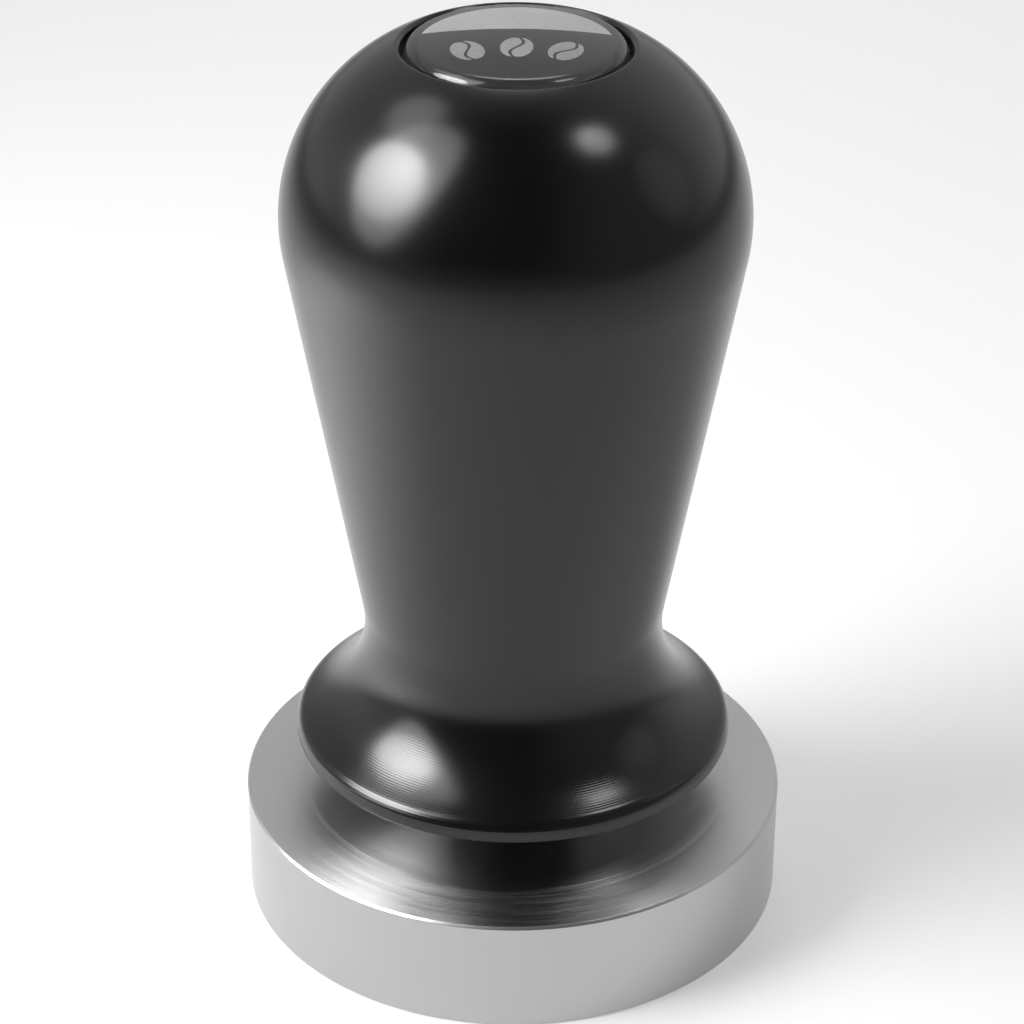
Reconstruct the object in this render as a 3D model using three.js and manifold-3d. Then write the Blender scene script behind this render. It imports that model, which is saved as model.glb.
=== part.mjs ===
// A calibrated espresso tamper with a 58 mm base, at rest with its handle raised.
// The handle slides down the guide shaft against a preloaded spring until its skirt meets the base.
// Units are millimetres, +Z is up, and the origin is the centre of the tamping face.

import * as THREE from 'three';
import { mergeVertices } from 'three/addons/utils/BufferGeometryUtils.js';
import Module from 'manifold-3d';

const wasm = await Module();
wasm.setup();

// ---------------------------------------------------------------- driving dimensions

const SEGMENTS = 60;        // facets round the handle, the base and the badge
const INNER_SEGMENTS = 36;  // facets round the turned pieces inside
const SMALL_SEGMENTS = 16;  // facets round pins and small holes
const THREAD_GAP = 0.05;    // radial gap that stands in for the play of a thread or a press fit

const base = { radius: 29, height: 12.5, topChamfer: 0.25, bottomChamfer: 0.25 };
const skirtGap = 6.5;       // open height between the base and the skirt, and the stroke to the stop
const skirtZ = base.height + skirtGap;

// The handle's outline: a lip, a rounded shoulder, a hollow flare, a cone and a round head.
const lip = { radius: 23.35, innerRadius: 21.3, edge: 0.12, shoulderRadius: 1.7 };
const cone = { radiusAtZero: 9.88, slope: 0.178 };
const flare = { radius: 12.4, centreZ: 32.3 };
const head = { radius: 19.58, centreZ: 78.57, rimZ: 96.5 };
const relief = { ceilingZ: 20.5 };

// The bores inside the handle, from the bottom up.
const chamber = { radius: 12.6, topZ: 39.5 };
const springBore = { radius: 8.6, topZ: 72 };
const recess = { radius: 11.35, floorZ: 94.7, rimBreak: 0.25 };

const collar = { radius: 13.5, height: 6.5, boreRadius: 7.45, lipRadius: 6.5, lipHeight: 0.6 };
const collarTopZ = relief.ceilingZ + collar.height;
const wiper = { section: 0.65 };
const pin = { radius: 1.25, length: 15, circle: 9.9, depth: 5 };
const spanner = { radius: 1.25, depth: 2.5 };

const shaft = { radius: 6, chamfer: 0.4 };
const spigot = { radius: 4, length: 8.5, clearance: 0.5 };
const shaftWasher = { inner: 4.2, outer: 7.5, height: 1 };
const topOutWasher = { inner: 6.3, outer: 8.4, height: 1 };
const flange = { radius: 12.4, height: 4, socketDepth: 1, pinClearance: 0.2 };
const flangeScrew = { shankRadius: 3, shankLength: 16, headRadius: 5, headHeight: 6 };
const flangeSocket = { across: 5, depth: 3 };

const spring = { wireRadius: 1, meanRadius: 6.5, length: 36, activeTurns: 8, endPitch: 2.15, grind: 0.5 };
const springSeat = { inner: 5.2, outer: 7.8, height: 0.8 };
const seatCap = { radius: 8.2, height: 2.2 };
const pilot = { radius: 5.2, length: 4 };
const preload = { radius: 8, length: 10, socketAcross: 8, socketDepth: 5 };
const lockRing = { height: 3, bore: 4.9, slotWidth: 2, slotDepth: 1.2 };

const badge = { radius: 10.95, printRadius: 9.4, tape: 0.2, plate: 0.5, print: 0.15 };
const dome = { edgeHeight: 1.25, edgeRound: 0.3, crown: 0.8 };

// ---------------------------------------------------------------- materials

const metal = (color, roughness) => new THREE.MeshStandardMaterial({ color, roughness, metalness: 1 });
const plastic = (color, roughness) => new THREE.MeshStandardMaterial({ color, roughness, metalness: 0 });

const blackAnodised = metal(0x1b1b1c, 0.34);
const satinSteel = metal(0xbfbfbe, 0.3);
const darkSteel = metal(0x595a5b, 0.35);
const springSteel = metal(0x6c6e70, 0.4);
const bronze = metal(0xb58a4c, 0.4);
const acetal = plastic(0xe6e4dc, 0.5);
const blackRubber = plastic(0x161616, 0.8);
const foamTape = plastic(0xd8d8d2, 0.9);
const badgeAluminium = metal(0x2a2a2b, 0.4);
const printedVinyl = plastic(0x5c5c5c, 0.5);
const clearResin = new THREE.MeshStandardMaterial({
  color: 0xf4f4f4, roughness: 0.05, metalness: 0, transparent: true, opacity: 0.35,
});

// ---------------------------------------------------------------- shape helpers

// Turns an outline of [radius, z] points, listed anticlockwise, into a solid about the Z axis.
function turned(outline, segments = INNER_SEGMENTS) {
  const points = outline.map(([radius, z]) => new THREE.Vector2(radius, z));
  const startsOnAxis = points[0].x === 0;
  if (!startsOnAxis) points.push(points[0].clone());
  return new THREE.LatheGeometry(points, segments).rotateX(Math.PI / 2);
}

function ring(inner, outer, height, segments = INNER_SEGMENTS) {
  return turned([[inner, 0], [outer, 0], [outer, height], [inner, height]], segments);
}

function flatWasher({ inner, outer, height }) {
  return ring(inner, outer, height);
}

// A rod on the Z axis from z = 0 up. Six segments and a corner radius make it a hexagon.
function rod(radius, height, segments = SMALL_SEGMENTS) {
  const geometry = new THREE.CylinderGeometry(radius, radius, height, segments);
  return geometry.rotateX(Math.PI / 2).translate(0, 0, height / 2);
}

function hexagon(acrossFlats, height) {
  return rod(acrossFlats / Math.sqrt(3), height, 6);
}

// Points along an arc in the [radius, z] plane. Angles are in radians, and 0 points away from the axis.
function arc(centre, radius, from, to, steps) {
  const points = [];
  for (let i = 0; i <= steps; i += 1) {
    const angle = from + ((to - from) * i) / steps;
    points.push([centre[0] + radius * Math.cos(angle), centre[1] + radius * Math.sin(angle)]);
  }
  return points;
}

function toManifold(geometry) {
  const bare = geometry.clone();
  bare.deleteAttribute('normal');
  bare.deleteAttribute('uv');
  const merged = mergeVertices(bare, 1e-4);
  return new wasm.Manifold(new wasm.Mesh({
    numProp: 3,
    vertProperties: new Float32Array(merged.attributes.position.array),
    triVerts: new Uint32Array(merged.index.array),
  }));
}

function toGeometry(manifold) {
  const mesh = manifold.getMesh();
  const geometry = new THREE.BufferGeometry();
  geometry.setAttribute('position', new THREE.BufferAttribute(mesh.vertProperties, 3));
  geometry.setIndex(new THREE.BufferAttribute(mesh.triVerts, 1));
  geometry.computeVertexNormals();
  return geometry;
}

function cut(geometry, tools) {
  const body = tools.reduce((left, tool) => left.subtract(toManifold(tool)), toManifold(geometry));
  return toGeometry(body);
}

function piece(name, geometry, material, z = 0) {
  const mesh = new THREE.Mesh(geometry, material);
  mesh.name = name;
  mesh.position.z = z;
  return mesh;
}

// ---------------------------------------------------------------- base and guide shaft

function baseDisc() {
  const { radius, height, topChamfer, bottomChamfer } = base;
  const holeRadius = spigot.radius + THREAD_GAP;
  const holeFloor = height - spigot.length - spigot.clearance;
  return turned([
    [0, 0],
    [radius - bottomChamfer, 0],
    [radius, bottomChamfer],
    [radius, height - topChamfer],
    [radius - topChamfer, height],
    [holeRadius, height],
    [holeRadius, holeFloor],
    [0, holeFloor],
  ], SEGMENTS);
}

const shaftFootZ = base.height + shaftWasher.height;
const flangeZ = collarTopZ + topOutWasher.height;
const flangeTopZ = flangeZ + flange.height;
const shaftTopZ = flangeZ + flange.socketDepth;

// The threaded spigot is below z = 0, and the shaft's shoulder is at z = 0.
function guideShaft() {
  const length = shaftTopZ - shaftFootZ;
  const spigotLength = spigot.length + shaftWasher.height;
  const tapRadius = flangeScrew.shankRadius + THREAD_GAP;
  const tapFloor = flangeTopZ - flangeScrew.shankLength - spigot.clearance - shaftFootZ;
  return turned([
    [0, -spigotLength],
    [spigot.radius - shaft.chamfer, -spigotLength],
    [spigot.radius, shaft.chamfer - spigotLength],
    [spigot.radius, 0],
    [shaft.radius - shaft.chamfer, 0],
    [shaft.radius, shaft.chamfer],
    [shaft.radius, length - shaft.chamfer],
    [shaft.radius - shaft.chamfer, length],
    [tapRadius, length],
    [tapRadius, tapFloor],
    [0, tapFloor],
  ]);
}

// The two pins stand on the X axis, and the flange slides along them.
function pinPlaces() {
  return [[pin.circle, 0], [-pin.circle, 0]];
}

function guideFlange() {
  const socketRadius = shaft.radius + THREAD_GAP;
  const screwHole = flangeScrew.shankRadius + 0.3;
  const body = turned([
    [socketRadius, 0],
    [flange.radius, 0],
    [flange.radius, flange.height],
    [screwHole, flange.height],
    [screwHole, flange.socketDepth],
    [socketRadius, flange.socketDepth],
  ]);
  const holes = pinPlaces().map(([x, y]) => (
    rod(pin.radius + flange.pinClearance, flange.height + 2).translate(x, y, -1)
  ));
  return cut(body, holes);
}

// The head's underside is at z = 0.
function capScrew() {
  const { shankRadius, shankLength, headRadius, headHeight } = flangeScrew;
  const headEdge = 0.4;
  const body = turned([
    [0, -shankLength],
    [shankRadius - headEdge, -shankLength],
    [shankRadius, headEdge - shankLength],
    [shankRadius, 0],
    [headRadius, 0],
    [headRadius, headHeight - headEdge],
    [headRadius - headEdge, headHeight],
    [0, headHeight],
  ]);
  const { across, depth } = flangeSocket;
  return cut(body, [hexagon(across, depth + 1).translate(0, 0, headHeight - depth)]);
}

// ---------------------------------------------------------------- spring and its seats

// The wire's centre line. The end coils lie closed, and the coils between them share one open pitch.
class SpringLine extends THREE.Curve {
  getPoint(t, target = new THREE.Vector3()) {
    const turns = spring.activeTurns + 2;
    const turn = t * turns;
    const rise = spring.length - 2 * spring.grind - 2 * spring.endPitch;
    const active = THREE.MathUtils.clamp(turn - 1, 0, spring.activeTurns) / spring.activeTurns;
    const closed = Math.min(turn, 1) + Math.max(turn - 1 - spring.activeTurns, 0);
    const z = spring.grind + closed * spring.endPitch + active * rise;
    const angle = turn * 2 * Math.PI;
    return target.set(spring.meanRadius * Math.cos(angle), spring.meanRadius * Math.sin(angle), z);
  }
}

// A wire coil whose two ends are ground flat, at z = 0 and at its length.
function coilSpring() {
  const stepsPerTurn = 16;
  const wireSides = 8;
  const section = new THREE.Shape();
  for (let i = 0; i < wireSides; i += 1) {
    const angle = (i * 2 * Math.PI) / wireSides;
    const x = spring.wireRadius * Math.cos(angle);
    const y = spring.wireRadius * Math.sin(angle);
    if (i === 0) section.moveTo(x, y);
    else section.lineTo(x, y);
  }
  section.closePath();
  const wire = new THREE.ExtrudeGeometry(section, {
    steps: stepsPerTurn * (spring.activeTurns + 2),
    extrudePath: new SpringLine(),
    bevelEnabled: false,
  });
  const grinderSize = 4 * spring.meanRadius;
  const below = new THREE.BoxGeometry(grinderSize, grinderSize, 4).translate(0, 0, -2);
  const above = below.clone().translate(0, 0, spring.length + 4);
  return cut(wire, [below, above]);
}

function springCap() {
  return turned([
    [0, -pilot.length],
    [pilot.radius - 0.5, -pilot.length],
    [pilot.radius, 0.5 - pilot.length],
    [pilot.radius, 0],
    [seatCap.radius, 0],
    [seatCap.radius, seatCap.height],
    [0, seatCap.height],
  ]);
}

function preloadScrew() {
  const radius = preload.radius - THREAD_GAP;
  const edge = 0.6;
  const body = turned([
    [0, 0],
    [radius - edge, 0],
    [radius, edge],
    [radius, preload.length - edge],
    [radius - edge, preload.length],
    [0, preload.length],
  ]);
  const depth = preload.socketDepth;
  return cut(body, [hexagon(preload.socketAcross, depth + 1).translate(0, 0, preload.length - depth)]);
}

function jamRing() {
  const body = ring(lockRing.bore, preload.radius - THREAD_GAP, lockRing.height);
  const slot = new THREE.BoxGeometry(3 * preload.radius, lockRing.slotWidth, 2 * lockRing.slotDepth);
  return cut(body, [slot.translate(0, 0, lockRing.height)]);
}

// ---------------------------------------------------------------- handle and what is fixed in it

// The outline from the lip's foot to the rim of the badge recess. Each arc meets its neighbours at a tangent.
function handleOutline() {
  const tilt = Math.atan(cone.slope);
  const coneRadius = (z) => cone.radiusAtZero + cone.slope * z;
  const flareCentre = [coneRadius(flare.centreZ) + flare.radius / Math.cos(tilt), flare.centreZ];
  const headCentre = [coneRadius(head.centreZ) - head.radius / Math.cos(tilt), head.centreZ];

  const shoulderR = lip.radius - lip.shoulderRadius;
  const reach = flare.radius + lip.shoulderRadius;
  const shoulderZ = flare.centreZ - Math.sqrt(reach ** 2 - (flareCentre[0] - shoulderR) ** 2);
  const meet = Math.atan2(flareCentre[1] - shoulderZ, flareCentre[0] - shoulderR);
  const rimAngle = Math.asin((head.rimZ - head.centreZ) / head.radius);

  return [
    [lip.radius - lip.edge, skirtZ],
    [lip.radius, skirtZ + lip.edge],
    ...arc([shoulderR, shoulderZ], lip.shoulderRadius, 0, meet, 5),
    ...arc(flareCentre, flare.radius, meet + Math.PI, Math.PI - tilt, 9).slice(1),
    ...arc(headCentre, head.radius, -tilt, 0, 2),
    ...arc(headCentre, head.radius, 0, rimAngle, 10).slice(1),
  ];
}

function handleBody() {
  const collarBore = collar.radius + THREAD_GAP;
  return turned([
    [lip.innerRadius, skirtZ],
    ...handleOutline(),
    [recess.radius + recess.rimBreak, head.rimZ],
    [recess.radius, head.rimZ - recess.rimBreak],
    [recess.radius, recess.floorZ],
    [preload.radius, recess.floorZ],
    [preload.radius, springBore.topZ],
    [springBore.radius, springBore.topZ],
    [springBore.radius, chamber.topZ],
    [chamber.radius, chamber.topZ],
    [chamber.radius, collarTopZ],
    [collarBore, collarTopZ],
    [collarBore, relief.ceilingZ],
    [lip.innerRadius, relief.ceilingZ],
  ], SEGMENTS);
}

function retainingCollar() {
  const body = turned([
    [collar.lipRadius, 0],
    [collar.radius - 0.4, 0],
    [collar.radius, 0.4],
    [collar.radius, collar.height],
    [collar.boreRadius, collar.height],
    [collar.boreRadius, collar.lipHeight],
    [collar.lipRadius, collar.lipHeight],
  ]);
  const pinHoles = pinPlaces().map(([x, y]) => (
    rod(pin.radius + THREAD_GAP, pin.depth + 1).translate(x, y, collar.height - pin.depth)
  ));
  const spannerHoles = [pin.circle, -pin.circle].map((y) => (
    rod(spanner.radius, spanner.depth + 1).translate(0, y, -1)
  ));
  return cut(body, [...pinHoles, ...spannerHoles]);
}

function sealRing() {
  const steps = 12;
  const centre = [shaft.radius + THREAD_GAP + wiper.section, wiper.section];
  return turned(arc(centre, wiper.section, 0, 2 * Math.PI, steps).slice(0, steps));
}

function dowel() {
  const edge = 0.25;
  return turned([
    [0, 0],
    [pin.radius - edge, 0],
    [pin.radius, edge],
    [pin.radius, pin.length - edge],
    [pin.radius - edge, pin.length],
    [0, pin.length],
  ], SMALL_SEGMENTS);
}

function badgeDome() {
  const shoulder = badge.radius - dome.edgeRound;
  const crownRadius = (shoulder ** 2 + dome.crown ** 2) / (2 * dome.crown);
  const crownAngle = Math.asin(shoulder / crownRadius);
  const crownZ = dome.edgeHeight + dome.edgeRound + dome.crown - crownRadius;
  return turned([
    [0, 0],
    [badge.radius, 0],
    ...arc([shoulder, dome.edgeHeight], dome.edgeRound, 0, Math.PI / 2 - crownAngle, 3),
    ...arc([0, crownZ], crownRadius, Math.PI / 2 - crownAngle, Math.PI / 2, 8).slice(1, -1),
    [0, crownZ + crownRadius],
  ], SEGMENTS);
}

// ---------------------------------------------------------------- assembly

const tamper = new THREE.Group();

const baseAssembly = new THREE.Group();
const springZ = flangeTopZ + springSeat.height;
baseAssembly.add(
  piece('base_disc', baseDisc(), satinSteel),
  piece('shaft_washer', flatWasher(shaftWasher), darkSteel, base.height),
  piece('guide_shaft', guideShaft(), darkSteel, shaftFootZ),
  piece('guide_flange', guideFlange(), darkSteel, flangeZ),
  piece('flange_screw', capScrew(), darkSteel, flangeTopZ),
  piece('lower_spring_seat', flatWasher(springSeat), springSteel, flangeTopZ),
  piece('main_spring', coilSpring(), springSteel, springZ),
);

const handleAssembly = new THREE.Group();
const collarAssembly = new THREE.Group();
collarAssembly.position.z = relief.ceilingZ;
const bushHeight = collar.height - collar.lipHeight - 2 * wiper.section - THREAD_GAP;
const bush = ring(shaft.radius + 2 * THREAD_GAP, collar.boreRadius - THREAD_GAP, bushHeight);
collarAssembly.add(
  piece('retaining_collar', retainingCollar(), darkSteel),
  piece('wiper_ring', sealRing(), blackRubber, collar.lipHeight),
  piece('guide_bush', bush, bronze, collar.height - bushHeight),
  piece('top_out_washer', flatWasher(topOutWasher), acetal, collar.height),
);
pinPlaces().forEach(([x, y], index) => {
  const mesh = piece(`anti_rotation_pin_${index + 1}`, dowel(), darkSteel, collar.height - pin.depth);
  mesh.position.set(x, y, mesh.position.z);
  collarAssembly.add(mesh);
});

const capZ = springZ + spring.length;
const preloadZ = capZ + seatCap.height;
handleAssembly.add(
  piece('handle', handleBody(), blackAnodised),
  collarAssembly,
  piece('upper_spring_seat', springCap(), darkSteel, capZ),
  piece('preload_screw', preloadScrew(), darkSteel, preloadZ),
  piece('lock_ring', jamRing(), darkSteel, preloadZ + preload.length),
);

const badgeAssembly = new THREE.Group();
badgeAssembly.position.z = recess.floorZ;
badgeAssembly.add(
  piece('badge_tape', ring(preload.radius + 0.5, badge.radius - 0.2, badge.tape), foamTape),
  piece('badge_plate', rod(badge.radius, badge.plate, SEGMENTS), badgeAluminium, badge.tape),
  piece('badge_print', rod(badge.printRadius, badge.print, SEGMENTS), printedVinyl, badge.tape + badge.plate),
  piece('badge_dome', badgeDome(), clearResin, badge.tape + badge.plate + badge.print),
);
handleAssembly.add(badgeAssembly);

tamper.add(baseAssembly, handleAssembly);

export default tamper;
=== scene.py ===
"""A calibrated espresso tamper: a black anodised handle over a satin steel base, on a pale floor.

Shapes are turned from outlines of (radius, z) points in millimetres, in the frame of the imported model.
"""
import math

import bmesh
import bpy
from mathutils import Matrix, Vector


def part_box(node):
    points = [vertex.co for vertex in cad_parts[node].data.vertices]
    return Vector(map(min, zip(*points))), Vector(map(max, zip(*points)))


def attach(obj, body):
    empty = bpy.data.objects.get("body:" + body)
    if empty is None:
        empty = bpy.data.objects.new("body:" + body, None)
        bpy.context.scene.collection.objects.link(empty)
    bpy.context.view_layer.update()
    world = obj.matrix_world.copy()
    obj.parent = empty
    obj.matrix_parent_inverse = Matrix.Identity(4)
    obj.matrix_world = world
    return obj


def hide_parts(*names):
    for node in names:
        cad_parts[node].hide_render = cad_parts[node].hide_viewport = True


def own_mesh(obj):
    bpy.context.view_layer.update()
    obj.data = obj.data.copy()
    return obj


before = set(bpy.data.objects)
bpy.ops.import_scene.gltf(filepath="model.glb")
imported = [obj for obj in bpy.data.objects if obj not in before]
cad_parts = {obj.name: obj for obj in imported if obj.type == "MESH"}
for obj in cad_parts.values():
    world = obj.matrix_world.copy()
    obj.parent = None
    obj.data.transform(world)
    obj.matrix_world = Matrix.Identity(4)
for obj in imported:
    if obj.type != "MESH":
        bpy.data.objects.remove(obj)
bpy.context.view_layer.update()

MM = 0.001

# ---------------------------------------------------------------- sizes that the boxes don't hold (mm)

LIP_RADIUS, LIP_INNER, LIP_EDGE, LIP_SHOULDER = 23.35, 21.3, 0.12, 1.7
CONE_RADIUS_AT_ZERO, CONE_SLOPE = 9.88, 0.178
FLARE_RADIUS, FLARE_Z = 12.4, 32.3
HEAD_RADIUS, HEAD_Z = 19.58, 78.57
CHAMBER_RADIUS, CHAMBER_TOP = 12.6, 39.5
SPRING_BORE_RADIUS, SPRING_BORE_TOP = 8.6, 72.0
RECESS_RADIUS, RIM_BREAK = 11.35, 0.25
COLLAR_PITCH, SCREW_PITCH, SPIGOT_PITCH, FLANGE_SCREW_PITCH = 1.5, 1.5, 1.25, 1.0
COLLAR_LIP_RADIUS, COLLAR_LIP_HEIGHT, WIPER_SEAT_RADIUS = 6.5, 0.6, 7.45
SPIGOT_RADIUS = 4.0
FLANGE_SOCKET_DEPTH, FLANGE_SCREW_HOLE = 1.0, 3.3
FLANGE_SCREW_RADIUS, FLANGE_SCREW_HEAD = 3.0, 5.0
PIN_CIRCLE, PIN_CLEARANCE = 9.9, 0.2
SPANNER_RADIUS, SPANNER_DEPTH = 1.25, 2.5
WIRE_RADIUS, ACTIVE_TURNS, END_PITCH, GRIND = 1.0, 8, 2.15, 0.5
PILOT_RADIUS, PILOT_CHAMFER = 5.2, 0.5
LOCK_RING_BORE, LOCK_SLOT_WIDTH, LOCK_SLOT_DEPTH = 4.9, 2.0, 1.2
PRINT_HORIZON = 2.5  # where the badge's light half begins, towards +Y
INK = 0.02           # how far one printed layer stands above another
RUB_INNER, RUB_OUTER = 22.3, 23.5  # where the skirt has touched the base's top

THREAD_DEPTH = 0.6  # as a share of the pitch
PLAY = 0.05         # between a thread or a pressed piece and its hole
END_GAP = 0.5       # below the end of a piece that is screwed into a blind hole
CHAMFER = 0.4       # on the shaft, the flange screw and the collar
ON_AXIS = 1e-6      # a radius below this counts as 0
HOLE_SEGMENTS = 32  # facets round pin holes and spanner holes
BEYOND = 1.0        # how far a cutter goes past the face that it opens

# The base's top and side are one steel in two tones: the top's lighter tone is painted light, the side's
# darker tone is painted shade.
TOP_TONE_PAINTED_LIGHT, SIDE_TONE_PAINTED_SHADE = (0.7, 0.7, 0.695), (0.47, 0.47, 0.467)
MIDDLE = Vector((0, 0, 0.05))  # in metres: lights are placed round it, and most of them aim at it


def low(node):
    return [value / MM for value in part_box(node)[0]]


def high(node):
    return [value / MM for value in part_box(node)[1]]


def outer_radius(node):
    return high(node)[0]


def pin_radius():
    return (high("anti_rotation_pin_1")[0] - low("anti_rotation_pin_1")[0]) / 2


# ---------------------------------------------------------------- mesh helpers

def arc(centre, radius, start, end, steps):
    """Points along an arc in a plane. Angles are in radians, from the plane's first axis."""
    turn = [start + (end - start) * i / steps for i in range(steps + 1)]
    return [(centre[0] + radius * math.cos(a), centre[1] + radius * math.sin(a)) for a in turn]


def soften(outline, rounding, steps=4):
    """The outline with each sharp corner rounded off. Corners on the axis stay.

    One more point on each side of the rounding keeps the shading of the flat faces flat."""
    sharpest_kept = math.radians(20)
    most = 0.35  # of either side, for the rounding
    points = [Vector(p) for p in outline]
    result = []
    for i, corner in enumerate(points):
        back, ahead = points[i - 1] - corner, points[(i + 1) % len(points)] - corner
        bend = math.pi - back.angle(ahead, math.pi)
        if corner.x < ON_AXIS or bend < sharpest_kept:
            result.append(tuple(corner))
            continue
        reach = min(rounding * math.tan(bend / 2), most * back.length, most * ahead.length)
        back, ahead = back.normalized() * reach, ahead.normalized() * reach
        start, end = corner + back, corner + ahead
        result.append(tuple(start + back * 0.3))
        for k in range(steps + 1):
            t = k / steps
            result.append(tuple(start * (1 - t) ** 2 + corner * (2 * t * (1 - t)) + end * t ** 2))
        result.append(tuple(end + ahead * 0.3))
    return result


class Thread:
    """A helical groove cut into the upright wall at one radius, between two heights."""

    wall_slack, end_slack = 0.02, 0.8  # how far a wall may be from the radius, and reach past the ends
    crest, root = 0.12, 0.88  # where the groove's side starts and ends, as shares of half a pitch

    def __init__(self, radius, bottom, top, pitch):
        self.radius, self.bottom, self.top, self.pitch = radius, bottom, top, pitch

    def covers(self, a, b):
        upright = abs(a[0] - b[0]) < 1e-4 and abs(a[0] - self.radius) < self.wall_slack
        low_end, high_end = sorted((a[1], b[1]))
        return upright and low_end > self.bottom - self.end_slack and high_end < self.top + self.end_slack

    def depth_at(self, angle, z):
        fade = min(z - self.bottom, self.top - z) / self.pitch
        ramp = abs(((z / self.pitch - angle / math.tau) % 1.0) * 2 - 1)
        groove = min(max((ramp - self.crest) / (self.root - self.crest), 0.0), 1.0)
        return self.pitch * THREAD_DEPTH * groove * min(max(fade, 0.0), 1.0)


def split_for_threads(outline, threads):
    """Adds points to the outline along each threaded wall.

    Returns pairs of a point and its thread, which is None away from the threads."""
    steps_per_pitch = 8
    points = []
    for i, a in enumerate(outline):
        b = outline[(i + 1) % len(outline)]
        points.append((a, None))
        for thread in threads:
            if thread.covers(a, b):
                count = int(abs(b[1] - a[1]) / thread.pitch * steps_per_pitch)
                for k in range(1, count):
                    points.append(((a[0], a[1] + (b[1] - a[1]) * k / count), thread))
    return points


def turned(name, outline, segments, threads=(), sharp=32):
    """A solid turned about the Z axis from an anticlockwise outline in millimetres.

    The outline closes on itself, or starts and ends on the axis. The attribute turning holds each
    point's distance along the outline, for the tool marks."""
    points = split_for_threads(outline, threads)
    mesh = bmesh.new()
    turning = mesh.verts.layers.float.new("turning")
    rings = []
    travelled = 0.0
    previous = None
    for (radius, z), thread in points:
        if previous is not None:
            travelled += math.dist(previous, (radius, z))
        previous = (radius, z)
        ring = []
        for k in range(1 if radius < ON_AXIS else segments):
            angle = math.tau * k / segments
            cut = thread.depth_at(angle, z) if thread else 0.0
            place = Vector(((radius - cut) * math.cos(angle), (radius - cut) * math.sin(angle), z))
            vertex = mesh.verts.new(place * MM)
            vertex[turning] = travelled * MM
            ring.append(vertex)
        rings.append(ring)
    closes = len(rings[0]) > 1
    for i in range(len(rings) if closes else len(rings) - 1):
        a, b = rings[i], rings[(i + 1) % len(rings)]
        for k in range(segments):
            n = (k + 1) % segments
            if len(a) == 1:
                mesh.faces.new((a[0], b[n], b[k]))
            elif len(b) == 1:
                mesh.faces.new((a[k], a[n], b[0]))
            else:
                mesh.faces.new((a[k], a[n], b[n], b[k]))
    return finish_mesh(name, mesh, sharp)


def finish_mesh(name, mesh, sharp=32):
    bmesh.ops.recalc_face_normals(mesh, faces=mesh.faces)
    for face in mesh.faces:
        face.smooth = True
    data = bpy.data.meshes.new(name)
    mesh.to_mesh(data)
    mesh.free()
    data.set_sharp_from_angle(angle=math.radians(sharp))
    piece = bpy.data.objects.new(name, data)
    bpy.context.scene.collection.objects.link(piece)
    return piece


def ring_outline(inner, outer, bottom, top):
    return [(inner, bottom), (outer, bottom), (outer, top), (inner, top)]


def bar_outline(radius, bottom, top, edge):
    """A solid cylinder with chamfered ends."""
    return [
        (0, bottom),
        (radius - edge, bottom),
        (radius, bottom + edge),
        (radius, top - edge),
        (radius - edge, top),
        (0, top),
    ]


def prism(name, radius, bottom, top, sides, place=(0, 0)):
    """An upright prism, used as a cutter for holes and hexagonal sockets."""
    mesh = bmesh.new()
    corners = [math.tau * k / sides for k in range(sides)]
    levels = []
    for z in (bottom, top):
        level = []
        for a in corners:
            corner = Vector((place[0] + radius * math.cos(a), place[1] + radius * math.sin(a), z))
            level.append(mesh.verts.new(corner * MM))
        levels.append(level)
    mesh.faces.new(levels[0])
    mesh.faces.new(levels[1])
    for k in range(sides):
        n = (k + 1) % sides
        mesh.faces.new((levels[0][k], levels[0][n], levels[1][n], levels[1][k]))
    return finish_mesh(name, mesh)


def hex_socket(width, depth, top):
    """The cutter for a hexagonal socket that is open at the top. Its width is across the flats."""
    return prism("socket", width / math.sqrt(3), top - depth, top + BEYOND, 6)


def hole_pair(radius, bottom, top, towards=(1, 0)):
    """Cutters for two holes that face each other across the pin circle."""
    x, y = PIN_CIRCLE * towards[0], PIN_CIRCLE * towards[1]
    return [prism("hole", radius, bottom, top, HOLE_SEGMENTS, (side * x, side * y)) for side in (1, -1)]


def cut(piece, cutters, sharp=32):
    """Cuts each cutter out of the piece and removes the cutters."""
    for cutter in cutters:
        modifier = piece.modifiers.new("cut", "BOOLEAN")
        modifier.operation = "DIFFERENCE"
        modifier.solver = "EXACT"
        modifier.object = cutter
    graph = bpy.context.evaluated_depsgraph_get()
    data = bpy.data.meshes.new_from_object(piece.evaluated_get(graph))
    piece.modifiers.clear()
    piece.data = data
    for polygon in data.polygons:
        polygon.use_smooth = True
    data.set_sharp_from_angle(angle=math.radians(sharp))
    for cutter in cutters:
        bpy.data.objects.remove(cutter)
    return piece


def fit(piece, node, body, material):
    """Puts a finished piece in the place of a CAD node."""
    piece.data.materials.clear()
    piece.data.materials.append(material)
    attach(piece, body)
    if node:
        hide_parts(node)
    return piece


# ---------------------------------------------------------------- materials

def new_material(name, color, roughness, metallic=0.0, **inputs):
    material = bpy.data.materials.new(name)
    material.use_nodes = True
    shader = material.node_tree.nodes["Principled BSDF"]
    shader.inputs["Base Color"].default_value = (*color, 1)
    shader.inputs["Roughness"].default_value = roughness
    shader.inputs["Metallic"].default_value = metallic
    for key, value in inputs.items():
        shader.inputs[key.replace("_", " ")].default_value = value
    return material


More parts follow.
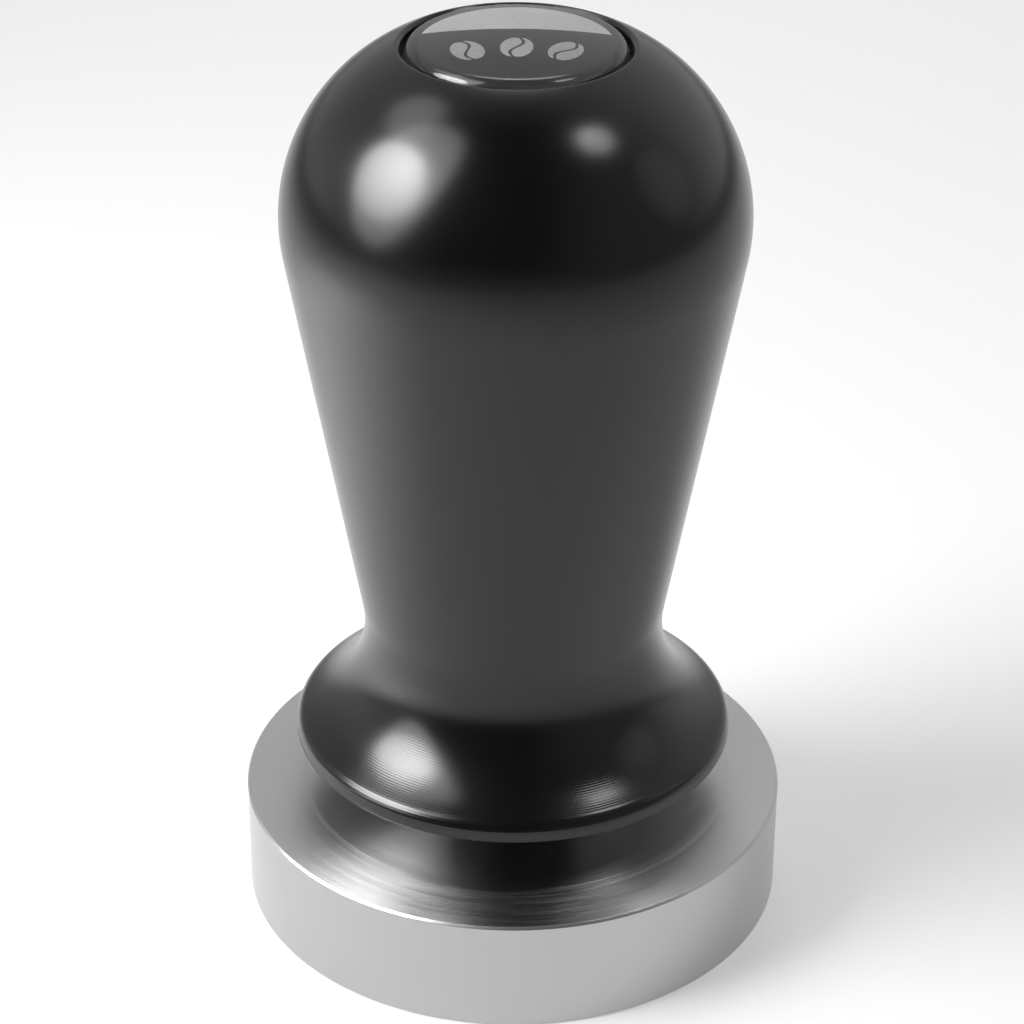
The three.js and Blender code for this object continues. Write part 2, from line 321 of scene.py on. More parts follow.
class Nodes:
    """Short forms for the nodes that these materials share."""

    def __init__(self, material):
        self.tree = material.node_tree
        self.shader = self.tree.nodes["Principled BSDF"]

    def add(self, kind, **settings):
        node = self.tree.nodes.new(kind)
        for key, value in settings.items():
            setattr(node, key, value)
        return node

    def plug(self, value, socket):
        if isinstance(value, bpy.types.NodeSocket):
            self.tree.links.new(value, socket)
        else:
            socket.default_value = value

    def math(self, operation, a, b=0.0, c=0.0):
        node = self.add("ShaderNodeMath", operation=operation)
        for value, socket in zip((a, b, c), node.inputs):
            self.plug(value, socket)
        return node.outputs[0]

    def place(self):
        """The point's x, y and z in the piece, in metres."""
        node = self.add("ShaderNodeTexCoord")
        return node.outputs["Object"]

    def split(self, vector):
        node = self.add("ShaderNodeSeparateXYZ")
        self.plug(vector, node.inputs[0])
        return node.outputs

    def join(self, x, y, z):
        node = self.add("ShaderNodeCombineXYZ")
        for value, socket in zip((x, y, z), node.inputs):
            self.plug(value, socket)
        return node.outputs[0]

    def distance_from_axis(self):
        x, y, _ = self.split(self.place())
        square = self.math("ADD", self.math("MULTIPLY", x, x), self.math("MULTIPLY", y, y))
        return self.math("SQRT", square)

    def turning(self):
        return self.add("ShaderNodeAttribute", attribute_name="turning").outputs["Fac"]

    def noise(self, vector, scale, detail=2.0, roughness=0.5):
        """Smooth noise between 0 and 1, with about as many features to the metre as its scale."""
        node = self.add("ShaderNodeTexNoise")
        self.plug(vector, node.inputs["Vector"])
        node.inputs["Scale"].default_value = scale
        node.inputs["Detail"].default_value = detail
        node.inputs["Roughness"].default_value = roughness
        return node.outputs["Fac"]

    def remap(self, value, from_low, from_high, to_low, to_high, kind="LINEAR"):
        node = self.add("ShaderNodeMapRange", interpolation_type=kind)
        for item, socket in zip((value, from_low, from_high, to_low, to_high), node.inputs):
            self.plug(item, socket)
        return node.outputs[0]

    def mix(self, share, a, b):
        node = self.add("ShaderNodeMix", data_type="RGBA")
        self.plug(share, node.inputs["Factor"])
        self.plug(a, node.inputs["A"])
        self.plug(b, node.inputs["B"])
        return node.outputs["Result"]

    def bump(self, height, distance, strength=1.0, after=None):
        node = self.add("ShaderNodeBump")
        self.plug(height, node.inputs["Height"])
        self.plug(distance, node.inputs["Distance"])
        self.plug(strength, node.inputs["Strength"])
        if after is not None:
            self.plug(after, node.inputs["Normal"])
        return node.outputs[0]

    def set(self, **sockets):
        for key, value in sockets.items():
            self.plug(value, self.shader.inputs[key.replace("_", " ")])

    def turned_tangent(self):
        """Stretches highlights across the tool marks, which run round the Z axis."""
        node = self.add("ShaderNodeTangent", direction_type="RADIAL", axis="Z")
        self.plug(node.outputs[0], self.shader.inputs["Tangent"])


def anodised_black():
    """Dyed anodising over turned aluminium: a fine grain all over, and the tool's rings on the flare."""
    dark, light = (0.0018, 0.0018, 0.0019, 1), (0.0032, 0.0032, 0.0033, 1)
    ring_pitch, ring_height, grain_height = 0.27 * MM, 0.0036 * MM, 0.0012 * MM
    flare_top = (FLARE_Z - 0.4 * FLARE_RADIUS) * MM
    fade = 3 * MM
    material = new_material("black_anodised", (0.0025, 0.0025, 0.0026), 0.2, IOR=1.5)
    nodes = Nodes(material)
    place = nodes.place()
    height_here = nodes.split(place)[2]
    on_flare = nodes.remap(height_here, flare_top, flare_top - fade, 0.0, 1.0, "SMOOTHSTEP")
    rings = nodes.math("SINE", nodes.math("MULTIPLY", nodes.turning(), math.tau / ring_pitch))
    uneven = nodes.noise(nodes.join(0.0, 0.0, nodes.turning()), 2600.0, 3.0)
    patches = nodes.remap(nodes.noise(place, 260.0), 0.35, 0.65, 0.45, 1.0)
    height = nodes.math("MULTIPLY", nodes.math("ADD", rings, uneven), patches)
    marks = nodes.bump(height, ring_height, on_flare)
    grain = nodes.bump(nodes.noise(place, 9000.0, 3.0), grain_height, 1.0, marks)
    cloud = nodes.noise(place, 90.0, 4.0)
    nodes.set(
        Normal=grain,
        Roughness=nodes.remap(cloud, 0.3, 0.7, 0.19, 0.22),
        Base_Color=nodes.mix(cloud, dark, light),
    )
    return material


def faced_steel():
    """The base's top, faced on a lathe: fine rings round the axis spread highlights outward into two fans.

    Outside the ring that the skirt has rubbed, the rings are coarser and show as broken streaks. Score
    lines run round the rubbed ring itself. Streaks and score lines are deepest at the front and back."""
    fine_height, chatter_height = 0.0012 * MM, 0.014 * MM
    inner, outer = RUB_INNER * MM, RUB_OUTER * MM
    edge, coarse_edge = 0.3 * MM, 1.2 * MM
    anisotropy = {"Anisotropic": 0.95, "Anisotropic_Rotation": 0.25}
    # Its tone is lighter than the side's: painted light.
    material = new_material("faced_steel", TOP_TONE_PAINTED_LIGHT, 0.3, 1.0, **anisotropy)
    nodes = Nodes(material)
    nodes.turned_tangent()
    place = nodes.place()
    radius = nodes.distance_from_axis()
    across = nodes.split(place)[0]
    aside = nodes.math("ABSOLUTE", across)

    begun = nodes.remap(radius, inner, inner + edge, 0.0, 1.0, "SMOOTHSTEP")
    ended = nodes.remap(radius, outer, outer + edge, 0.0, 1.0, "SMOOTHSTEP")
    outward = nodes.remap(radius, inner, outer + coarse_edge, 0.0, 1.0, "SMOOTHSTEP")
    rubbed = nodes.math("SUBTRACT", begun, ended)

    streak_place = nodes.join(radius, nodes.math("MULTIPLY", across, 0.03), 0.0)
    streaks = nodes.remap(nodes.noise(streak_place, 2500.0, 3.0, 0.6), 0.35, 0.65, 0.0, 1.0)
    streak_depth = nodes.remap(aside, 5 * MM, 13 * MM, 0.12, 0.02)
    streaky = nodes.math("MULTIPLY", nodes.math("MULTIPLY", streaks, begun), streak_depth)

    score_place = nodes.join(radius, nodes.math("MULTIPLY", across, 0.01), 0.005)
    scores = nodes.remap(nodes.noise(score_place, 5500.0, 2.0), 0.5, 0.62, 0.0, 1.0)
    score_depth = nodes.remap(aside, 6 * MM, 12 * MM, 0.22, 0.06)
    scored = nodes.math("MULTIPLY", nodes.math("MULTIPLY", scores, score_depth), rubbed)

    coarse = nodes.noise(nodes.join(radius, 0.0, 0.0), 900.0, 2.0)
    turned_roughness = nodes.remap(coarse, 0.3, 0.7, 0.27, 0.29)
    coarser = nodes.math("ADD", streaky, nodes.math("MULTIPLY", outward, 0.03))
    chatter = nodes.bump(nodes.noise(place, 4500.0, 2.0), chatter_height, outward)
    fine = nodes.noise(nodes.join(radius, 0.0, 0.0), 7000.0, 3.0, 0.7)
    nodes.set(
        Normal=nodes.bump(fine, fine_height, after=chatter),
        Roughness=nodes.math("ADD", turned_roughness, nodes.math("ADD", coarser, scored)),
    )
    return material


def satin_steel():
    """The base's side: an even satin with a fine grain, in a darker tone than the top's: painted shade."""
    grain_height = 0.0008 * MM
    material = new_material("satin_steel", SIDE_TONE_PAINTED_SHADE, 0.33, 1.0)
    nodes = Nodes(material)
    place = nodes.place()
    grain = nodes.noise(place, 4000.0, 4.0, 0.7)
    cloud = nodes.noise(place, 120.0, 4.0, 0.6)
    nodes.set(
        Normal=nodes.bump(grain, grain_height),
        Roughness=nodes.remap(cloud, 0.3, 0.7, 0.31, 0.35),
    )
    return material


def plain_steel(name, tone, roughness):
    """Turned or drawn steel inside the tamper, with fine rings."""
    ring_height = 0.001 * MM
    smoothest, roughest = roughness - 0.05, roughness + 0.07
    material = new_material(name, (tone, tone, tone * 1.01), roughness, 1.0)
    nodes = Nodes(material)
    rings = nodes.noise(nodes.join(0.0, 0.0, nodes.turning()), 5000.0, 3.0)
    cloud = nodes.noise(nodes.place(), 500.0, 3.0)
    nodes.set(
        Normal=nodes.bump(rings, ring_height),
        Roughness=nodes.remap(cloud, 0.3, 0.7, smoothest, roughest),
    )
    return material


def speckled(name, dark, light, roughness, scale, metallic=0.0):
    """A quiet two-tone material for plastics, rubber, tape, bronze, paint and print."""
    grain_height, uneven = 0.003 * MM, 0.05
    material = new_material(name, dark, roughness, metallic)
    nodes = Nodes(material)
    grain = nodes.noise(nodes.place(), scale, 4.0, 0.6)
    nodes.set(
        Base_Color=nodes.mix(nodes.remap(grain, 0.35, 0.65, 0.0, 1.0), (*dark, 1), (*light, 1)),
        Roughness=nodes.remap(grain, 0.3, 0.7, roughness - uneven, roughness + uneven),
        Normal=nodes.bump(grain, grain_height),
    )
    return material


def clear_resin():
    """Cast clear resin, with a very slight waviness where it levelled."""
    wave_height, wave_strength = 0.002 * MM, 0.4
    material = new_material("clear_resin", (0.97, 0.97, 0.97), 0.08, IOR=1.5, Transmission_Weight=1.0)
    nodes = Nodes(material)
    wave = nodes.noise(nodes.place(), 260.0, 1.0)
    nodes.set(Normal=nodes.bump(wave, wave_height, wave_strength))
    return material


# ---------------------------------------------------------------- the base and what is screwed to it

def make_base_disc(satin, faced):
    bottom, top = low("base_disc")[2], high("base_disc")[2]
    radius = outer_radius("base_disc")
    edge = 0.25
    bore = SPIGOT_RADIUS + PLAY
    floor = low("guide_shaft")[2] - END_GAP
    outline = [
        (0, bottom),
        (radius - edge, bottom),
        (radius, bottom + edge),
        (radius, top - edge),
        (radius - edge, top),
        (bore, top),
        (bore, floor),
        (0, floor),
    ]
    thread = Thread(bore, floor + 0.6, top - 0.2, SPIGOT_PITCH)
    piece = turned("base_disc_turned", soften(outline, rounding=0.12), segments=256, threads=[thread])
    fit(piece, "base_disc", "base", satin)
    piece.data.materials.append(faced)
    # Faces that look up get the top's lighter tone and the rest get the side's darker one: painted light
    # and shade on one steel.
    faces_up = 0.97
    for polygon in piece.data.polygons:
        polygon.material_index = int(polygon.normal.z > faces_up)
    return piece


def make_shaft(steel):
    bottom, top = low("guide_shaft")[2], high("guide_shaft")[2]
    foot = high("shaft_washer")[2]
    radius, edge = outer_radius("guide_shaft"), CHAMFER
    tap, tap_floor = FLANGE_SCREW_RADIUS + PLAY, low("flange_screw")[2] - END_GAP
    outline = [
        (0, bottom),
        (SPIGOT_RADIUS - edge, bottom),
        (SPIGOT_RADIUS, bottom + edge),
        (SPIGOT_RADIUS, foot),
        (radius - edge, foot),
        (radius, foot + edge),
        (radius, top - edge),
        (radius - edge, top),
        (tap, top),
        (tap, tap_floor),
        (0, tap_floor),
    ]
    threads = [
        Thread(SPIGOT_RADIUS, bottom + edge, foot - 1.2, SPIGOT_PITCH),
        Thread(tap, tap_floor + 0.4, top, FLANGE_SCREW_PITCH),
    ]
    piece = turned("guide_shaft_turned", soften(outline, rounding=0.1), segments=96, threads=threads)
    return fit(piece, "guide_shaft", "base", steel)


def make_ring(node, body, material, inner, rounding):
    """A plain washer, bush or ring of the CAD node's size."""
    outline = ring_outline(inner, outer_radius(node), low(node)[2], high(node)[2])
    piece = turned(node + "_turned", soften(outline, rounding), segments=96)
    return fit(piece, node, body, material)


def make_flange(steel):
    bottom, top = low("guide_flange")[2], high("guide_flange")[2]
    radius = outer_radius("guide_flange")
    socket = outer_radius("guide_shaft") + PLAY
    ledge = bottom + FLANGE_SOCKET_DEPTH
    outline = [
        (socket, bottom),
        (radius, bottom),
        (radius, top),
        (FLANGE_SCREW_HOLE, top),
        (FLANGE_SCREW_HOLE, ledge),
        (socket, ledge),
    ]
    piece = turned("guide_flange_turned", soften(outline, rounding=0.3), segments=96)
    holes = hole_pair(pin_radius() + PIN_CLEARANCE, bottom - BEYOND, top + BEYOND)
    return fit(cut(piece, holes), "guide_flange", "base", steel)


def make_flange_screw(steel):
    bottom, top = low("flange_screw")[2], high("flange_screw")[2]
    seat = high("guide_flange")[2]
    radius, edge = FLANGE_SCREW_RADIUS, CHAMFER
    outline = [
        (0, bottom),
        (radius - edge, bottom),
        (radius, bottom + edge),
        (radius, seat),
        (FLANGE_SCREW_HEAD, seat),
        (FLANGE_SCREW_HEAD, top),
        (0, top),
    ]
    thread = Thread(radius, bottom + 0.3, seat - 4, FLANGE_SCREW_PITCH)
    piece = turned("flange_screw_turned", soften(outline, rounding=0.4), segments=96, threads=[thread])
    socket = hex_socket(width=5, depth=3, top=top)
    return fit(cut(piece, [socket]), "flange_screw", "base", steel)


def make_spring(steel):
    """Round wire wound right-handed, with closed ends ground flat."""
    bottom, top = low("main_spring")[2], high("main_spring")[2]
    mean_radius = outer_radius("main_spring") - WIRE_RADIUS
    turns = ACTIVE_TURNS + 2
    rise = top - bottom - 2 * GRIND - 2 * END_PITCH
    steps, sides = 44 * turns, 18
    mesh = bmesh.new()
    turning = mesh.verts.layers.float.new("turning")
    rings = []
    for i in range(steps + 1):
        turn = turns * i / steps
        active = min(max(turn - 1, 0), ACTIVE_TURNS) / ACTIVE_TURNS
        closed = min(turn, 1) + max(turn - 1 - ACTIVE_TURNS, 0)
        centre_z = bottom + GRIND + closed * END_PITCH + active * rise
        angle = math.tau * turn
        ring = []
        for k in range(sides):
            around = math.tau * k / sides
            radius = mean_radius + WIRE_RADIUS * math.cos(around)
            z = min(max(centre_z + WIRE_RADIUS * math.sin(around), bottom), top)
            place = Vector((radius * math.cos(angle), radius * math.sin(angle), z))
            vertex = mesh.verts.new(place * MM)
            vertex[turning] = around * WIRE_RADIUS * MM
            ring.append(vertex)
        rings.append(ring)
    for a, b in zip(rings, rings[1:]):
        for k in range(sides):
            n = (k + 1) % sides
            mesh.faces.new((a[k], a[n], b[n], b[k]))
    mesh.faces.new(rings[0])
    mesh.faces.new(rings[-1])
    piece = finish_mesh("main_spring_wound", mesh, 50)
    fit(piece, "main_spring", "base", steel)
    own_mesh(piece)
    return piece


# ---------------------------------------------------------------- the handle and what is fixed in it

def handle_outline():
    """From the lip's foot to the rim. Each arc meets its neighbours at a tangent."""
    skirt, rim = low("handle")[2], high("handle")[2]
    tilt = math.atan(CONE_SLOPE)

    def cone_radius(z):
        return CONE_RADIUS_AT_ZERO + CONE_SLOPE * z

    flare = (cone_radius(FLARE_Z) + FLARE_RADIUS / math.cos(tilt), FLARE_Z)
    head = (cone_radius(HEAD_Z) - HEAD_RADIUS / math.cos(tilt), HEAD_Z)
    shoulder_r = LIP_RADIUS - LIP_SHOULDER
    reach = FLARE_RADIUS + LIP_SHOULDER
    shoulder_z = FLARE_Z - math.sqrt(reach ** 2 - (flare[0] - shoulder_r) ** 2)
    meet = math.atan2(flare[1] - shoulder_z, flare[0] - shoulder_r)
    rim_angle = math.asin((rim - HEAD_Z) / HEAD_RADIUS)
    return [
        (LIP_RADIUS - LIP_EDGE, skirt),
        (LIP_RADIUS, skirt + LIP_EDGE),
        *arc((shoulder_r, shoulder_z), LIP_SHOULDER, 0, meet, 12),
        *arc(flare, FLARE_RADIUS, meet + math.pi, math.pi - tilt, 40)[1:],
        *arc(head, HEAD_RADIUS, -tilt, rim_angle, 56),
    ]


def make_handle(anodised):
    skirt, rim = low("handle")[2], high("handle")[2]
    ceiling, collar_top = low("retaining_collar")[2], high("retaining_collar")[2]
    recess_floor = low("badge_tape")[2]
    collar_bore = outer_radius("retaining_collar") + PLAY
    screw_bore = 8.0
    inside = [
        (RECESS_RADIUS + RIM_BREAK, rim),
        (RECESS_RADIUS, rim - RIM_BREAK),
        (RECESS_RADIUS, recess_floor),
        (screw_bore, recess_floor),
        (screw_bore, SPRING_BORE_TOP),
        (SPRING_BORE_RADIUS, SPRING_BORE_TOP),
        (SPRING_BORE_RADIUS, CHAMBER_TOP),
        (CHAMBER_RADIUS, CHAMBER_TOP),
        (CHAMBER_RADIUS, collar_top),
        (collar_bore, collar_top),
        (collar_bore, ceiling),
        (LIP_INNER, ceiling),
        (LIP_INNER, skirt),
    ]
    threads = [
        Thread(screw_bore, SPRING_BORE_TOP, recess_floor, SCREW_PITCH),
        Thread(collar_bore, ceiling, collar_top, COLLAR_PITCH),
    ]
    outline = handle_outline() + inside
    piece = turned("handle_turned", soften(outline, rounding=0.12), segments=256, threads=threads)
    return fit(piece, "handle", "handle", anodised)


def make_collar(steel):
    bottom, top = low("retaining_collar")[2], high("retaining_collar")[2]
    radius, edge = outer_radius("retaining_collar"), CHAMFER
    ledge = bottom + COLLAR_LIP_HEIGHT
    outline = [
        (COLLAR_LIP_RADIUS, bottom),
        (radius - edge, bottom),
        (radius, bottom + edge),
        (radius, top),
        (WIPER_SEAT_RADIUS, top),
        (WIPER_SEAT_RADIUS, ledge),
        (COLLAR_LIP_RADIUS, ledge),
    ]
    thread = Thread(radius, bottom + 0.2, top, COLLAR_PITCH)
    outline = soften(outline, rounding=0.15)
    piece = turned("retaining_collar_turned", outline, segments=192, threads=[thread])
    pin_foot = low("anti_rotation_pin_1")[2]
    pin_holes = hole_pair(pin_radius() + PLAY, pin_foot, top + BEYOND)
    spanner_holes = hole_pair(SPANNER_RADIUS, bottom - BEYOND, bottom + SPANNER_DEPTH, (0, 1))
    return fit(cut(piece, pin_holes + spanner_holes), "retaining_collar", "handle", steel)


def make_wiper(rubber):
    bottom, top = low("wiper_ring")[2], high("wiper_ring")[2]
    section = (top - bottom) / 2
    centre = (outer_radius("guide_shaft") + PLAY + section, bottom + section)
    piece = turned("wiper_ring_moulded", arc(centre, section, 0, math.tau, 24)[:-1], segments=96, sharp=80)
    return fit(piece, "wiper_ring", "handle", rubber)


def make_pins(steel):
    for index, side in ((1, 1), (2, -1)):
        node = f"anti_rotation_pin_{index}"
        outline = bar_outline(pin_radius(), low(node)[2], high(node)[2], edge=0.25)
        piece = turned(node + "_ground", soften(outline, rounding=0.1), segments=48)
        piece.data.transform(Matrix.Translation((side * PIN_CIRCLE * MM, 0, 0)))
        fit(piece, node, "handle", steel)


def make_spring_cap(steel):
    bottom, top = low("upper_spring_seat")[2], high("upper_spring_seat")[2]
    face = high("main_spring")[2]
    radius = outer_radius("upper_spring_seat")
    outline = [
        (0, bottom),
        (PILOT_RADIUS - PILOT_CHAMFER, bottom),
        (PILOT_RADIUS, bottom + PILOT_CHAMFER),
        (PILOT_RADIUS, face),
        (radius, face),
        (radius, top),
        (0, top),
    ]
    piece = turned("upper_spring_seat_turned", soften(outline, rounding=0.2), segments=96)
    return fit(piece, "upper_spring_seat", "handle", steel)


def screw_thread(radius):
    """The thread of the preload screw and its lock ring. It runs past both and fades on neither."""
    return Thread(radius, SPRING_BORE_TOP - 2, high("lock_ring")[2] + 9, SCREW_PITCH)


def make_preload_screw(steel):
    bottom, top = low("preload_screw")[2], high("preload_screw")[2]
    radius = outer_radius("preload_screw")
    outline = bar_outline(radius, bottom, top, edge=0.6)
    thread = screw_thread(radius)
    piece = turned("preload_screw_turned", soften(outline, rounding=0.1), segments=160, threads=[thread])
    socket = hex_socket(width=8, depth=5, top=top)
    return fit(cut(piece, [socket]), "preload_screw", "handle", steel)


def make_lock_ring(steel):
    bottom, top = low("lock_ring")[2], high("lock_ring")[2]
    radius = outer_radius("lock_ring")
    outline = ring_outline(LOCK_RING_BORE, radius, bottom, top)
    thread = screw_thread(radius)
    piece = turned("lock_ring_turned", soften(outline, rounding=0.2), segments=160, threads=[thread])
    slot = bmesh.new()
    size = Matrix.Diagonal((3 * radius * MM, LOCK_SLOT_WIDTH * MM, 2 * LOCK_SLOT_DEPTH * MM, 1))
    bmesh.ops.create_cube(slot, size=1, matrix=Matrix.Translation((0, 0, top * MM)) @ size)
    return fit(cut(piece, [finish_mesh("slot", slot)]), "lock_ring", "handle", steel)


# ---------------------------------------------------------------- the badge

def make_badge_dome(resin):
    """The resin is poured over the print, so it reaches into the plate's surface and leaves no air."""
    bottom, top = high("badge_plate")[2] - INK, high("badge_dome")[2]
    radius, edge_round, crown = outer_radius("badge_dome"), 1.3, 0.9
    shoulder = radius - edge_round
    shoulder_z = top - crown - edge_round
    crown_radius = (shoulder ** 2 + crown ** 2) / (2 * crown)
    lean = math.pi / 2 - math.asin(shoulder / crown_radius)
    outline = [
        (0, bottom),
        (radius, bottom),
        *arc((shoulder, shoulder_z), edge_round, 0, lean, 10),
        *arc((0, top - crown_radius), crown_radius, lean, math.pi / 2, 40)[1:-1],
        (0, top),
    ]
    piece = turned("badge_dome_cast", outline, segments=192, sharp=60)
    return fit(piece, "badge_dome", "handle", resin)


def make_badge_print(dark_ink, light_ink, emblem_ink):
    """A dark disc, with a lighter far part and three coffee beans as raised ink."""
    bottom, top = low("badge_print")[2], high("badge_print")[2]
    radius = outer_radius("badge_print")
    face = top - INK
    outline = [(0, bottom), (radius, bottom), (radius, face), (0, face)]
    disc = turned("badge_print_disc", outline, segments=160)
    fit(disc, "badge_print", "handle", dark_ink)

    half_angle = math.acos(PRINT_HORIZON / radius)
    segment = arc((0, 0), radius, math.pi / 2 - half_angle, math.pi / 2 + half_angle, 96)
    far = extruded("badge_print_far", [segment], face, face + INK)
    fit(far, None, "handle", light_ink)

    spacing, row_y, droop = 4.6, -1.9, 0.5
    beans = []
    for side, tilt in ((-1, 0.35), (0, -0.1), (1, -0.45)):
        centre = (side * spacing, row_y - droop * abs(side))
        beans += coffee_bean(centre, tilt, half_width=1.55, half_length=2.25)
    emblem = extruded("badge_print_beans", beans, face, face + INK)
    fit(emblem, None, "handle", emblem_ink)


def coffee_bean(centre, tilt, half_width, half_length):
    """The two halves of a bean, parted by a slim S-shaped crease."""
    steps = 28
    half_crease, sway = 0.16, 0.34 * half_width

    def middle(t):
        return sway * math.sin(math.pi * t)

    halves = []
    for side in (-1, 1):
        inner = []
        outer = []
        for k in range(steps + 1):
            t = -1 + 2 * k / steps
            reach = half_width * math.sqrt(max(1 - t * t, 0))
            start = min(max(middle(t) * side + half_crease, -reach), reach)
            inner.append((side * start, t * half_length))
            outer.append((side * max(reach, start), t * half_length))
        loop = inner[1:-1] + outer[1:-1][::-1]
        turned_loop = [(centre[0] + x * math.cos(tilt) - y * math.sin(tilt),
                        centre[1] + x * math.sin(tilt) + y * math.cos(tilt)) for x, y in loop]
        halves.append(turned_loop)
    return halves


def extruded(name, loops, bottom, top):
    """Thin upright walls around each flat loop, closed above and below."""
    mesh = bmesh.new()
    for loop in loops:
        levels = [[mesh.verts.new(Vector((x, y, z)) * MM) for x, y in loop] for z in (bottom, top)]
        for level in levels:
            mesh.faces.new(level)
        count = len(loop)
        for k in range(count):
            n = (k + 1) % count
            mesh.faces.new((levels[0][k], levels[0][n], levels[1][n], levels[1][k]))
    return finish_mesh(name, mesh)


# ---------------------------------------------------------------- stage

def make_camera():
    """A long lens on the -Y side, which looks down about 29 degrees."""
    back, up = 0.28422, 0.20507
    pitch, roll = 0.5136, 0.0054
    data = bpy.data.cameras.new("camera")
    data.sensor_width = 36
    data.lens = 109.64
    data.shift_x = -0.0021
    data.clip_start = 0.01
    camera = bpy.data.objects.new("camera", data)
    bpy.context.scene.collection.objects.link(camera)
    turn = Matrix.Rotation(math.pi / 2 - pitch, 4, "X") @ Matrix.Rotation(roll, 4, "Z")
    camera.matrix_world = Matrix.Translation((0, -back, up)) @ turn
    bpy.context.scene.camera = camera


def soft_light(name, place, aim, size, spread, radiance, tall=1.0):
    """An oval diffuser with a grid that narrows its beam. The spread is in degrees.

    The radiance is the one at its middle, seen head on."""
    half = math.radians(spread / 2)
    grid_gain = math.tan(half) / (math.tan(half) - half)
    data = bpy.data.lights.new(name, "AREA")
    data.shape = "ELLIPSE"
    data.size = size
    data.size_y = size * tall
    data.spread = 2 * half
    data.energy = radiance / grid_gain * math.pi * math.pi * (size / 2) ** 2 * tall
    light = bpy.data.objects.new(name, data)
    light.location = place
    light.rotation_euler = (Vector(place) - Vector(aim)).to_track_quat("Z", "Y").to_euler()
    light.visible_camera = False
    bpy.context.scene.collection.objects.link(light)


def toward(azimuth, elevation, distance):
    """A point seen from the tamper's middle. Azimuth is clockwise from +Y, seen from above."""
    a, e = math.radians(azimuth), math.radians(elevation)
    direction = Vector((math.sin(a) * math.cos(e), math.cos(a) * math.cos(e), math.sin(e)))
    return MIDDLE + direction * distance


def make_sky(walls):
    """Soft light from all round. Each wall is (direction, start, full, strength).

    Start and full are cosines of the angle from that direction, where the light begins and is full."""
    world = bpy.data.worlds.new("studio")
    bpy.context.scene.world = world
    world.use_nodes = True
    tree = world.node_tree
    background = tree.nodes["Background"]
    background.inputs["Color"].default_value = (1, 1, 1, 1)
    direction = tree.nodes.new("ShaderNodeTexCoord").outputs["Generated"]
    total = None
    for axis, start, full, strength in walls:
        along = tree.nodes.new("ShaderNodeVectorMath")
        along.operation = "DOT_PRODUCT"
        tree.links.new(direction, along.inputs[0])
        along.inputs[1].default_value = axis
        ramp = tree.nodes.new("ShaderNodeMapRange")
        ramp.interpolation_type = "SMOOTHSTEP"
        tree.links.new(along.outputs["Value"], ramp.inputs["Value"])
        for key, value in (("From Min", start), ("From Max", full), ("To Min", 0.0), ("To Max", strength)):
            ramp.inputs[key].default_value = value
        if total is None:
            total = ramp.outputs[0]
            continue
        both = tree.nodes.new("ShaderNodeMath")
        tree.links.new(total, both.inputs[0])
        tree.links.new(ramp.outputs[0], both.inputs[1])
        total = both.outputs[0]
    tree.links.new(total, background.inputs["Strength"])


def painted_glow_table():
    """A pale table whose glow is painted light: its emission lifts the shadow the tamper casts on it, a
    painted pool of light that is even near the tamper and weaker further out.
    """
    near, far = 0.3, 0.7
    near_glow, far_glow = 0.38, 0.08
    material = new_material("pale_floor", (0.42, 0.42, 0.42), 0.9, Emission_Color=(1, 1, 1, 1))
    nodes = Nodes(material)
    # The emission is painted light, not a lamp: it brightens the table most near the tamper, where the
    # tamper's shadow falls.
    glow = nodes.remap(nodes.distance_from_axis(), near, far, near_glow, far_glow, "SMOOTHSTEP")
    nodes.set(Emission_Strength=glow)
    return material


def make_stage():
    """The table, soft light all round, keys from the left, fills from the right and two table lights."""
    mesh = bmesh.new()
    bmesh.ops.create_circle(mesh, cap_ends=True, segments=96, radius=3.0)
    floor = finish_mesh("floor", mesh)
    floor.data.materials.append(painted_glow_table())

    make_sky([
        ((0, 1, 0), -0.2, 0.6, 0.5),
        ((1, 0, 0), 0.0, 0.9, 0.24),
        ((-1, 0, 0), 0.7, 1.0, 0.4),
        ((0, -1, 0), -0.1, 0.5, 0.03),
    ])
    soft_light("key", toward(-104, 32, 0.45), (-0.08, 0.0, 0.0), size=0.3, spread=74, radiance=17.5)
    soft_light("key_box", toward(-109, 36, 0.45), MIDDLE, size=0.32, spread=100, radiance=6.0, tall=1.8)
    soft_light("key_top", toward(-72, 55, 0.5), MIDDLE, size=0.2, spread=90, radiance=2.5)
    soft_light("fill", toward(103, 60, 0.6), (0.02, -0.02, 0.0), size=0.155, spread=46, radiance=8.6)
    soft_light("fill_side", toward(94, 26, 0.6), MIDDLE, size=0.25, spread=120, radiance=0.38, tall=1.4)
    soft_light("table_left", (-0.16, 0.0, 0.3), (-0.15, 0.0, 0.0), size=0.03, spread=39, radiance=1700.0)
    soft_light("backdrop", (0, 0.5, 0.8), (0, 0.48, 0), size=0.4, spread=84, radiance=13.0)


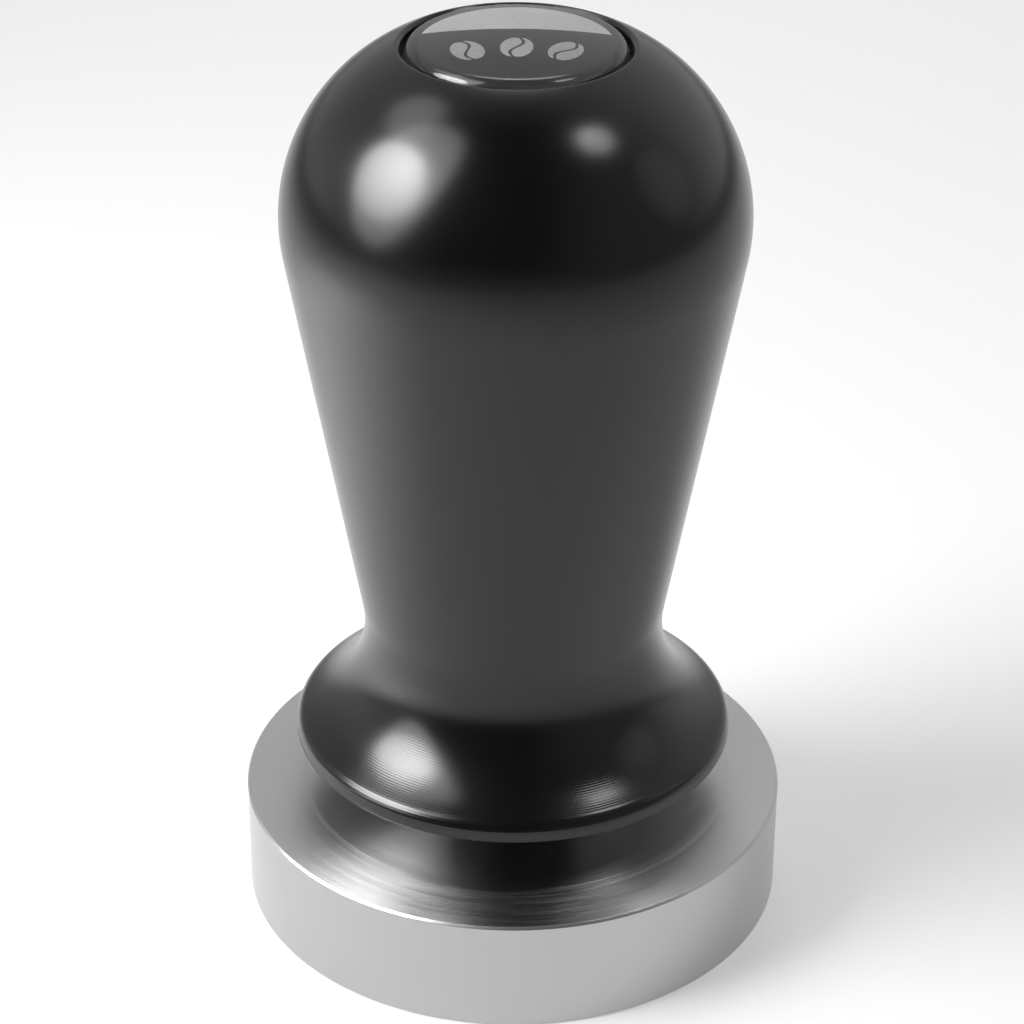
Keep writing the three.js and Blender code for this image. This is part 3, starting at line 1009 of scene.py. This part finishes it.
def main():
    scene = bpy.context.scene
    scene.view_settings.view_transform = "Standard"
    make_camera()
    make_stage()

    anodised = anodised_black()
    guide = plain_steel("nitrided_steel", tone=0.1, roughness=0.35)
    blackened = plain_steel("blackened_steel", tone=0.16, roughness=0.4)
    wire = plain_steel("spring_wire", tone=0.32, roughness=0.35)
    bronze = speckled("bush_bronze", (0.42, 0.22, 0.08), (0.55, 0.31, 0.13), 0.4, 4000.0, 1.0)
    acetal = speckled("washer_acetal", (0.74, 0.72, 0.66), (0.8, 0.78, 0.72), 0.45, 3000.0)
    rubber = speckled("seal_rubber", (0.012, 0.012, 0.012), (0.02, 0.02, 0.02), 0.65, 5000.0)
    tape = speckled("foam_tape", (0.6, 0.6, 0.57), (0.7, 0.7, 0.67), 0.85, 6000.0)
    painted = speckled("badge_paint", (0.01, 0.01, 0.01), (0.014, 0.014, 0.014), 0.4, 3000.0)
    dark_ink = speckled("dark_ink", (0.018, 0.018, 0.018), (0.024, 0.024, 0.024), 0.5, 2500.0)
    light_ink = speckled("light_ink", (0.5, 0.5, 0.5), (0.56, 0.56, 0.56), 0.5, 2500.0)
    emblem_ink = speckled("emblem_ink", (0.36, 0.36, 0.36), (0.42, 0.42, 0.42), 0.5, 2500.0)
    resin = clear_resin()

    make_base_disc(satin_steel(), faced_steel())
    make_ring("shaft_washer", "base", guide, inner=4.2, rounding=0.15)
    make_shaft(guide)
    make_flange(guide)
    make_flange_screw(blackened)
    make_ring("lower_spring_seat", "base", wire, inner=5.2, rounding=0.12)
    make_spring(wire)

    make_handle(anodised)
    make_collar(guide)
    make_wiper(rubber)
    make_ring("guide_bush", "handle", bronze, inner=6.1, rounding=0.2)
    make_ring("top_out_washer", "handle", acetal, inner=6.3, rounding=0.15)
    make_pins(guide)
    make_spring_cap(guide)
    make_preload_screw(blackened)
    make_lock_ring(blackened)

    make_ring("badge_tape", "handle", tape, inner=8.5, rounding=0.04)
    make_ring("badge_plate", "handle", painted, inner=0.0, rounding=0.08)
    make_badge_print(dark_ink, light_ink, emblem_ink)
    make_badge_dome(resin)


main()
